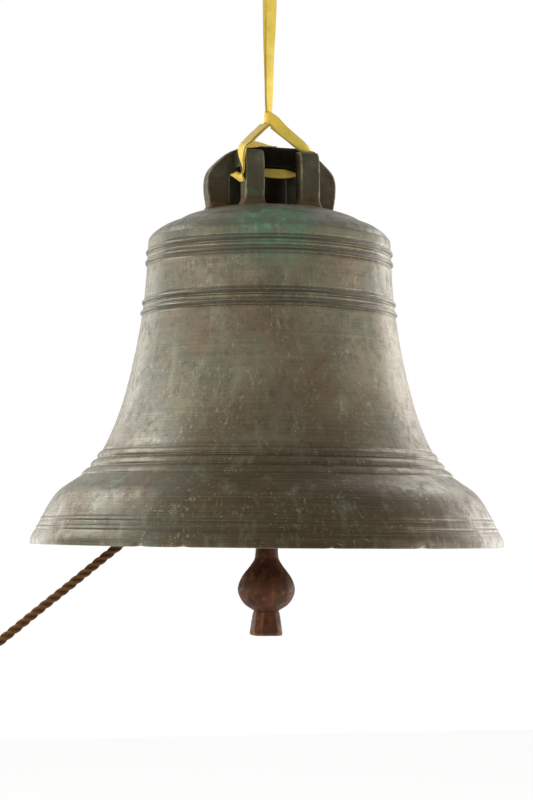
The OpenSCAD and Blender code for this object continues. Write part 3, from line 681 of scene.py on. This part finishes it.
def bronze_patina(name, dark=0.0):
    """Cast bell metal under a century of weather: brown-olive oxide, rubbed paler on edges, green where water runs,
    with painted shade and highlights.
    """
    material, tree, place = start_finish(name)
    spots, reach = partial(patch, tree, place), partial(along, tree, place)
    lower = reach(UP, -0.5, -0.74)
    mottle = spots(20, 0.45, 0.72, detail=9.0, rough=0.72, seed=6.0)
    # Pale specks of lime, and fine scratches three ways: the peaks of noises that are stretched along them
    scored = 0.0
    for lean, seed in (((0.0, 0.0, 0.0), 3.0), ((0.2, 1.3, 0.0), 8.0), ((-0.3, 0.7, 0.2), 5.0)):
        leaning = add(tree, "ShaderNodeMapping", {"Vector": place, "Rotation": lean}).outputs["Vector"]
        scratch = patch(tree, leaning, 2.6, 0.79, 0.87, stretch=(1, 1, 0.04), detail=0.0, seed=seed)
        scored = add(tree, "ShaderNodeMath", {0: scored, 1: scratch}, operation="MAXIMUM").outputs[0]
    scored = spots(90, 0.45, 0.6, scored, seed=25.0)
    speck = mask_of(tree, "ShaderNodeTexVoronoi", {"Vector": place, "Scale": 130.0}, "Distance",
                    0.24, 0.1, spots(46, 0.54, 0.62, seed=12.0))
    scored = add(tree, "ShaderNodeMath", {0: speck, 1: scored}, operation="MAXIMUM").outputs[0]
    # Verdigris: a stain under the crown's front, 12 mm right of the middle, in runs and blotches, and traces all round
    runs = spots(30, 0.36, 0.66, stretch=(1, 1, 0.13), detail=6.0, rough=0.7, seed=21.0)
    blotch = spots(36, 0.38, 0.64, detail=7.0, rough=0.68, seed=30.0)
    wet, blotchy = [add(tree, "ShaderNodeMath", {0: mask, 1: least}, operation="ADD", use_clamp=True).outputs[0]
                    for mask, least in ((runs, 0.25), (blotch, 0.55))]
    stain = add(tree, "ShaderNodeMath", {0: wet, 1: blotchy}, operation="MULTIPLY").outputs[0]
    aside = add(tree, "ShaderNodeVectorMath", {0: place, 1: ACROSS}, operation="DOT_PRODUCT").outputs["Value"]
    aside = add(tree, "ShaderNodeMath", {0: aside, 1: 0.012}, operation="SUBTRACT").outputs[0]
    stain = mask_of(tree, "ShaderNodeMath", {0: aside}, "Value", 0.12, 0.01, stain, operation="ABSOLUTE")
    stain = reach(UP, -0.31, -0.17, reach(TOWARDS, 0.05, 0.2, stain))
    around = add(tree, "ShaderNodeMath", {0: runs, 1: blotch}, operation="MULTIPLY").outputs[0]
    around = add(tree, "ShaderNodeMath", {0: around, 1: 0.3}, operation="MULTIPLY").outputs[0]
    around = reach(UP, -0.28, -0.17, around)
    green = add(tree, "ShaderNodeMath", {0: stain, 1: around}, operation="MAXIMUM").outputs[0]
    # Grime and painted shade in the grooves and under the mouldings, thicker in places
    dirt_and_shade = spots(55, 0.3, 0.6, seed=71.0)
    dirt_and_shade = add(tree, "ShaderNodeMath", {0: dirt_and_shade, 1: 0.65}, operation="ADD", use_clamp=True).outputs[0]
    layers = [
        # Broad tone of the oxide: clouds of warm brown and grey-olive, browner towards the sound bow and the lip
        ("6E6A54", spots(240, 0.35, 0.65, detail=6.0)),
        ("57432A", spots(150, 0.4, 0.68, seed=4.0), 0.75),
        ("3E4434", spots(110, 0.44, 0.7, seed=9.0), 0.65),
        ("33260F", lower, 0.78),
        ("3A2E1C", reach(UP, -0.79, -0.826), 0.58),
        # The dome, and the side that the rain comes from
        ("3A3520", reach(UP, -0.22, -0.18), 0.0 if dark else 0.42),
        ("33433C", reach(ACROSS, -0.04, -0.2), spots(90, 0.36, 0.6, detail=6.0, seed=61.0), 0.42),
        # Strickle lines left by turning the mould, pale and dark, 1 to 3 mm apart
        ("8C8066", spots(700, 0.47, 0.66, stretch=(1, 1, 420), detail=3.0, rough=0.75), 0.17),
        ("2A2416", spots(600, 0.5, 0.68, stretch=(1, 1, 300), detail=3.0, rough=0.7, seed=14.0), 0.2),
        # Runs where rain comes down from the crown
        ("747A66", spots(30, 0.52, 0.74, stretch=(1, 1, 0.09), detail=5.0, seed=2.0), 0.35),
        # Mottle of the sand mould, pits, lime and scratches
        ("30260F", mottle, 0.45),
        ("261D0E", spots(6, 0.5, 0.66, detail=5.0, rough=0.7, seed=41.0), spots(70, 0.36, 0.6, seed=44.0), 0.5),
        ("A09A82", spots(8, 0.54, 0.7, stretch=(1, 1, 0.4), rough=0.7, seed=51.0),
         spots(90, 0.42, 0.62, seed=54.0), 0.4),
        ("A89F86", scored, 0.42),
        ("3E6E52", green, 0.95),
        ("80B898", stain, mottle, 0.9),
        # Rust-brown dust about the feet of the crown
        ("33280F", reach(UP, -0.195, -0.145), spots(60, 0.28, 0.55, seed=33.0), 0.66),
        ("5A3F22", reach(UP, -0.153, -0.139), reach(UP, -0.10, -0.135), 0.6),
        # Painted shade over the whole of the crown's copy, as strong as dark
        ("241D12", dark),
        # Dark where the mesh lies low: grime in hollows, and painted shade with grime about the mouldings
        ("1B170D", wear_and_painted_light(tree, -0.02, -0.6), dirt_and_shade, 0.35 if dark else 0.95),
        # Pale where the mesh stands proud: wear on the lip, knocks, struck faces and edges, and painted highlights on
        # the mouldings' tops and the crown's rims
        ("968A72", wear_and_painted_light(tree, 0.4, 0.95), spots(40, 0.28, 0.58, seed=17.0), 0.62)]
    least_shine = lower
    if dark:
        # Painted shade, near black, towards the crown's middle
        out = add(tree, "ShaderNodeVectorMath", {0: place, 1: (1.0, 1.0, 0.0)}, operation="MULTIPLY").outputs["Vector"]
        middle_shade = mask_of(tree, "ShaderNodeVectorMath", {0: out}, "Value", 0.108, 0.062, operation="LENGTH")
        layers.append(("0C0905", middle_shade, 0.88))
        least_shine = middle_shade
    # Oxide hides the metal, so a little of it shows where there is no green. The sound bow is handled and greasy with
    # grime, and the crown's middle, where its shade is painted, is kept dull, so they shine less than the waist.
    dull = add(tree, "ShaderNodeMath", {0: green, 1: mottle}, operation="MAXIMUM").outputs[0]
    values = {"IOR": 1.45}
    for socket, mask, (clear, full) in (
            ("Metallic", green, (0.22, 0.0)), ("Roughness", dull, (0.6, 0.9) if dark else (0.38, 0.66)),
            ("Specular IOR Level", least_shine, (0.36, 0.06) if dark else (0.5, 0.22))):
        inputs = {"Value": mask, "To Min": clear, "To Max": full}
        values[socket] = add(tree, "ShaderNodeMapRange", inputs).outputs["Result"]
    lines = add(tree, "ShaderNodeMapping", {"Vector": place, "Scale": (1, 1, 260)}).outputs["Vector"]
    lines = add(tree, "ShaderNodeTexNoise", {"Vector": lines, "Scale": 2.2, "Detail": 4.0, "Roughness": 0.75})
    lines = add(tree, "ShaderNodeBump", {"Height": lines.outputs["Fac"], "Distance": 0.0010, "Strength": 0.3})
    sand = add(tree, "ShaderNodeTexNoise", {"Vector": place, "Scale": 240.0, "Detail": 6.0, "Roughness": 0.7})
    end_finish(tree, coats(tree, "58513C", *layers), sand.outputs["Fac"], 0.0009, 0.45, values,
               Normal=lines.outputs["Normal"])
    return material


# The crown. Each canon's outer side gives a height below the seat and how far out it is there.

SINGLE = [(-141, 133), (-84.6, 141), (-53.58, 135), (-28.2, 113), (-15, 96), (-8, 80)]
PAIR = [(-141, 103), (-84.6, 106), (-47.94, 103), (-22, 92), (-16, 74)]
CANON_HALF_W, EYE_CORNER_R, PAIR_OFFSET = 20.5, 14, 59.5
POST = [(-145, 47), (-141, 44.5), (-137, 41.5), (-132, 39), (-126, 37), (-118, 36), (-60, 36), (-45, 36.0)]
PLATFORM = [(-148, 1), (-148, 153), (-142.6, 153), (-141, 151), (-140.6, 147), (-140.8, 90), (-140.8, 1)]


def canon_foot(middle, half, low):
    """Rings of rounded oblongs that flare down to the platform, as the casting's fillet does."""
    rings = []
    for t in np.linspace(0, 1, 13):
        grow = 15.0 * (1 - t) ** 1.8 - 0.6
        a, b, c = half + grow, CANON_HALF_W + grow, 5.0 + max(grow, 0)
        rings.append([
            (middle + sx * (a - c) + c * math.cos(step + quarter * math.pi / 2),
             sy * (b - c) + c * math.sin(step + quarter * math.pi / 2), low - 4 + 32.0 * t)
            for quarter, (sx, sy) in enumerate(((1, 1), (-1, 1), (-1, -1), (1, -1)))
            for step in np.linspace(0, math.pi / 2, 5)])
    return rings


def make_canon(name, start, stations, leg_in, eye_top, turn, offset, finish):
    """One canon: its side outline with the eye left open, given its width, and turned to its place on the crown."""
    low, high = -141.0, stations[-1][0]
    leg_out = curve(stations, low)
    side = [(start, eye_top), (start, high)]
    side += [(curve(stations, z), z) for z in np.linspace(high, low, 30)]
    side += [(leg_out, low - 3), (leg_in, low - 3)]
    side += [(leg_in + EYE_CORNER_R * (math.cos(a) - 1), eye_top + EYE_CORNER_R * (math.sin(a) - 1))
             for a in np.radians(np.arange(0, 91, 11.25))]
    points = [[x, y, z] for y in (-CANON_HALF_W, CANON_HALF_W) for x, z in side]
    canon = new_piece(name, points, wall_faces(2, len(side)), finish)
    foot = skin(name + "_foot", canon_foot((leg_in + leg_out) / 2, (leg_out - leg_in) / 2, low), finish)
    place = Matrix.Translation((offset * MM, 0, 0)) @ Matrix.Rotation(math.radians(turn), 4, "Z")
    for piece in (canon, foot):
        piece.data.transform(place)
    return [canon, foot]


def rounded_fall(v, half, seat, drop):
    """How far a top has come down at v: flat out to the seat's edge, then round to drop at half."""
    round_r = (half - seat) ** 2 / (2 * drop) + drop / 2
    return round_r - np.sqrt(round_r ** 2 - np.maximum(np.abs(v) - seat, 0) ** 2)


def make_post_head(finish):
    """The head of the post: flat on top for the headstock, rounded down to its sides and ends."""
    half_x, half_y, under = 80, 45, -46.5
    nx, ny = 60, 40
    x, y = np.meshgrid(np.linspace(-half_x, half_x, nx), np.linspace(-half_y, half_y, ny), indexing="ij")
    top = -np.maximum(rounded_fall(x, half_x, 28, 8), rounded_fall(y, half_y, 24, 6))
    points = np.vstack([np.stack([x, y, z], -1).reshape(-1, 3) for z in (top, np.full_like(top, under))])
    index = np.arange(nx * ny).reshape(nx, ny)
    upper = np.stack([index[:-1, :-1], index[1:, :-1], index[1:, 1:], index[:-1, 1:]], -1).reshape(-1, 4)
    rim = np.concatenate([index[:, 0], index[-1, 1:], index[-2::-1, -1], index[0, -2:0:-1]])
    then = np.roll(rim, -1)
    sides = np.stack([then, rim, rim + nx * ny, then + nx * ny], -1)
    return new_piece("head", points, np.vstack([upper, upper[:, ::-1] + nx * ny, sides]).tolist(), finish)


def make_crown():
    """The crown: six canons, the post and its head, cast as one with the head of the bell."""
    # The crown's copy of the bell's bronze: darkened all over as painted shade, and painted near black towards its
    # middle
    finish = bronze_patina("cast_bronze_dark", dark=0.28)
    pieces = []
    for turn in (0, 180):
        pieces += make_canon("single", 60, SINGLE, 92, -58, turn, 0, finish)
    for turn in (-90, 90):
        for offset in (-PAIR_OFFSET, PAIR_OFFSET):
            pieces += make_canon("pair", 30, PAIR, 62, -48, turn, offset, finish)
    pieces += [turned("post", POST, finish), make_post_head(finish), turned("platform", PLATFORM, finish)]
    crown = cast_together("crown_cast", pieces, finish, voxel=1.7, smooth=5, proud_depth=0.55, lumps=0.25)
    settle(crown, "bell", "crown_metal", "argent", "canon_left", "canon_right", "canon_front_left",
           "canon_front_right", "canon_back_left", "canon_back_right")


make_bell()
make_crown()
print("bell made")


# The clapper and what it hangs on

def rusted_iron():
    """Wrought iron, hammered and rusted brown all over, with orange bloom and darker scale."""
    material, tree, place = start_finish("wrought_iron_rusted")
    colour = coats(tree, "2C170A",
        ("44240F", patch(tree, place, 40, 0.35, 0.65, detail=6.0)),
        ("66350F", patch(tree, place, 14, 0.5, 0.7, detail=8.0, seed=3.0), 0.7),
        ("1A0E07", patch(tree, place, 24, 0.5, 0.72, detail=7.0, seed=7.0), 0.75),
        ("7A4826", patch(tree, place, 16, 0.5, 0.72, stretch=(1, 1, 0.15), seed=11.0), 0.35),
        ("906238", wear_and_painted_light(tree, 0.35, 0.9), 0.35),
        ("1E110A", wear_and_painted_light(tree, -0.2, -0.8), 0.7))
    dull = add(tree, "ShaderNodeMapRange", {
        "Value": patch(tree, place, 20, 0.3, 0.7, seed=5.0), "To Min": 0.5, "To Max": 0.85}).outputs["Result"]
    scale = add(tree, "ShaderNodeTexNoise", {"Vector": place, "Scale": 260.0, "Detail": 8.0, "Roughness": 0.7})
    end_finish(tree, colour, scale.outputs["Fac"], 0.0018, 0.55, {"Roughness": dull, "Specular IOR Level": 0.2})
    return material


def oiled_steel():
    """Turned mild steel, oiled and gone dull brown-grey, brighter on its corners."""
    material, tree, place = start_finish("turned_steel_oiled")
    colour = coats(tree, "6E6A64",
        ("8A857C", patch(tree, place, 18, 0.35, 0.65)),
        ("5A4030", patch(tree, place, 9, 0.52, 0.7, seed=4.0), 0.8),
        ("B4B0A8", wear_and_painted_light(tree, 0.3, 0.9), 0.6))
    dull = add(tree, "ShaderNodeMapRange", {
        "Value": patch(tree, place, 12, 0.3, 0.7, seed=6.0), "To Min": 0.35, "To Max": 0.6}).outputs["Result"]
    rings = add(tree, "ShaderNodeMapping", {"Vector": place, "Scale": (40, 1, 1)}).outputs["Vector"]
    rings = add(tree, "ShaderNodeTexNoise", {"Vector": rings, "Scale": 30.0}).outputs["Fac"]
    end_finish(tree, colour, rings, 0.0004, 0.4, {"Metallic": 0.9, "Roughness": dull})
    return material


def greased_hide():
    """Thick greased leather: dark brown, with a fine pebbled grain."""
    material, tree, place = start_finish("greased_hide_cut")
    colour = coats(tree, "4A2C1A",
        ("6A4428", patch(tree, place, 8, 0.35, 0.65)),
        ("2A180E", patch(tree, place, 20, 0.5, 0.7, seed=2.0), 0.7))
    grain = add(tree, "ShaderNodeTexVoronoi", {"Vector": place, "Scale": 900.0}).outputs["Distance"]
    end_finish(tree, colour, grain, 0.0004, 0.6, {"Roughness": 0.55})
    return material


IRON = rusted_iron()
# Stem and ball, as height above the mouth and radius, from the ball's foot up
BALL = [(-137, 27), (-125.5, 44.16), (-109.4, 55.71), (-91, 60), (-67.9, 51.97), (-41.5, 32.63), (-25, 24.5),
        (35, 23.5), (506.2, 18)]


def clapper_ring(h, turn):
    """The clapper's radii round it at a height above the mouth."""
    if h > BALL[0][0]:
        # Hammer facets along the stem, five to the round
        facets = 0.35 * np.cos(5 * turn + 0.4 * math.sin(h / 60)) * np.clip((h + 30) / 40, 0, 1)
        return curve(BALL, h) + facets
    # The flight: a square bar with its corners off, wider towards its end, grown out of a round neck
    flight_l, half_top, half_grows, neck_r = 52, 25.2, 6.3, 25.4
    down = (BALL[0][0] - h) / flight_l
    half = half_top + half_grows * np.clip(down, 0, 1)
    x, y = np.abs(np.cos(turn)), np.abs(np.sin(turn))
    r = half * np.minimum(1 / np.maximum(x, y), (2 - 12 / half) / (x + y))
    square = np.clip(down / 0.1, 0, 1)
    r = r * square + neck_r * (1 - square)
    return r - 1.6 if down > 0.96 else r


def make_clapper():
    """The clapper, forged in one: eye, stem, pear-shaped ball and the flight below it."""
    turn = circle(96)
    rings = []
    for h in np.concatenate([np.linspace(-189, -141, 26), np.linspace(-139, -20, 70), np.linspace(-10, 506, 110)]):
        r = clapper_ring(h, turn)
        rings.append(np.stack([r * np.cos(turn), r * np.sin(turn), 0 * turn + h + MOUTH], -1))
    stem = skin("stem", rings, IRON)
    section = [(21.1, -20), (34.5, -20), (36, -18.5), (36, 18.5), (34.5, 20), (21.1, 20)]
    eye = skin("eye", [np.stack([0 * turn + x, r * np.cos(turn), PIVOT + r * np.sin(turn)], -1) for r, x in section],
               IRON, closed=True)
    shoulder = skin("eye_root", ball_of(PIVOT - 35, 19.5, 25, 12), IRON)
    clapper = cast_together(
        "clapper_forged", [stem, eye, shoulder], IRON, voxel=1.25, smooth=4, proud_depth=0.5, lumps=0.3)
    settle(clapper, "clapper", "wrought_iron", "clapper")


def softened(node, finish, slot_name, name, voxel, lumps=0.0):
    """A copy of a solid of the bell's body with its edges eased, which stands for it."""
    copy = new_object(name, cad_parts[node].data.copy())
    piece = cast_together(name, [copy], finish, voxel, smooth=3, proud_depth=0.3, lumps=lumps)
    settle(piece, "bell", slot_name, node)


def make_hanging():
    """The staple in the head with its pin, washer, nut and split pin, and the leather about the clapper's eye."""
    steel, hide = oiled_steel(), greased_hide()
    softened("crown_staple", IRON, "wrought_iron", "staple_forged", voxel=1.1, lumps=0.3)
    softened("pin_nut", steel, "pin_steel", "pin_nut_square", voxel=0.7)
    for node, finish in (("clapper_pin", steel), ("pin_washer", steel), ("pin_cotter", steel),
                         ("clapper_spacers", hide), ("clapper_bush", hide)):
        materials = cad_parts[node].data.materials
        materials.clear()
        materials.append(finish)


make_clapper()
make_hanging()
print("clapper made")


# The room: a pale floor well under the bell, white air round it and soft lamps

FLOOR_Z, FLOOR_HALF = -2.05, 7.0
LAMP_COLOUR = (1.0, 0.97, 0.92)
# Each lamp: way round from the camera in degrees, height, distance, width, tall, watts, spread in degrees, and where
# it looks, across and up
LAMPS = [
    ("left_softbox", -62, -0.75, 2.4, 1.0, 1.8, 47, 180, 0, -0.45),
    ("right_softbox", 82, -0.75, 2.4, 1.0, 1.8, 54, 180, 0, -0.45),
    ("left_rim", -128, -0.7, 2.4, 0.8, 1.8, 30, 180, 0, -0.45),
    ("right_rim", 128, -0.7, 2.4, 0.8, 1.8, 46, 180, 0, -0.45),
    ("front_fill", -25, -0.3, 3.6, 2.0, 1.2, 22, 180, 0, -0.45),
    ("left_high", -108, 0.75, 2.0, 1.3, 0.9, 5.4, 40, -0.33, -0.82),
    ("right_high", 132, 0.7, 2.0, 0.7, 0.7, 1.5, 44, 0.38, -0.8)]


def white_for_sight(tree, dull, glow):
    """Lets the camera, glossy surfaces and glass see plain white, and everything else the dull surface."""
    rays, seen = add(tree, "ShaderNodeLightPath").outputs, 0.0
    for ray in ("Is Camera Ray", "Is Glossy Ray", "Is Transmission Ray"):
        seen = add(tree, "ShaderNodeMath", {0: seen, 1: rays[ray]}, operation="ADD", use_clamp=True).outputs[0]
    return add(tree, "ShaderNodeMixShader", {0: seen, 1: dull.outputs[0], 2: glow.outputs[0]}).outputs[0]


def pale_floor():
    """Matt floor paint that looks white and keeps the bell's shadow: a glow added to the light that falls on it."""
    material = bpy.data.materials.new("pale_floor_paint")
    tree = empty_tree(material)
    surface = add(tree, "ShaderNodeBsdfDiffuse", {"Color": shade("E6E6E4")})
    glow = add(tree, "ShaderNodeEmission", {"Color": (1, 1, 1, 1), "Strength": 0.72})
    lit = add(tree, "ShaderNodeAddShader", {0: surface.outputs[0], 1: glow.outputs[0]})
    add(tree, "ShaderNodeOutputMaterial", {"Surface": white_for_sight(tree, surface, lit)})
    return material


def make_room():
    """A plain studio: a pale floor, white air, and soft lamps at the bell's own height that the camera doesn't see."""
    floor = [(x * FLOOR_HALF, y * FLOOR_HALF, FLOOR_Z) for x, y in ((-1, -1), (1, -1), (1, 1), (-1, 1))]
    new_piece("studio_floor", np.array(floor) / MM, [[0, 1, 2, 3]], pale_floor())
    world = bpy.data.worlds.new("studio_air")
    tree = empty_tree(world)
    dim, white = (add(tree, "ShaderNodeBackground", {"Color": (1, 1, 1, 1), "Strength": much}) for much in (0.3, 1.0))
    add(tree, "ShaderNodeOutputWorld", {"Surface": white_for_sight(tree, dim, white)})
    bpy.context.scene.world = world
    for name, way, high, far, wide, tall, watts, spread, across, up in LAMPS:
        data = bpy.data.lights.new(name, "AREA")
        data.shape = "RECTANGLE"
        data.size, data.size_y, data.energy, data.spread = wide, tall, watts, math.radians(spread)
        data.color = LAMP_COLOUR
        lamp = new_object(name, data)
        lamp.visible_camera = False
        angle = FRONT - math.pi / 2 + math.radians(way)
        lamp.location = Vector((math.cos(angle) * far, math.sin(angle) * far, high))
        aim = Vector(ACROSS) * across + Vector(UP) * up
        lamp.rotation_euler = (aim - lamp.location).to_track_quat("-Z", "Y").to_euler()
    bpy.context.scene.view_settings.view_transform = "Standard"


make_room()
bpy.context.view_layer.update()
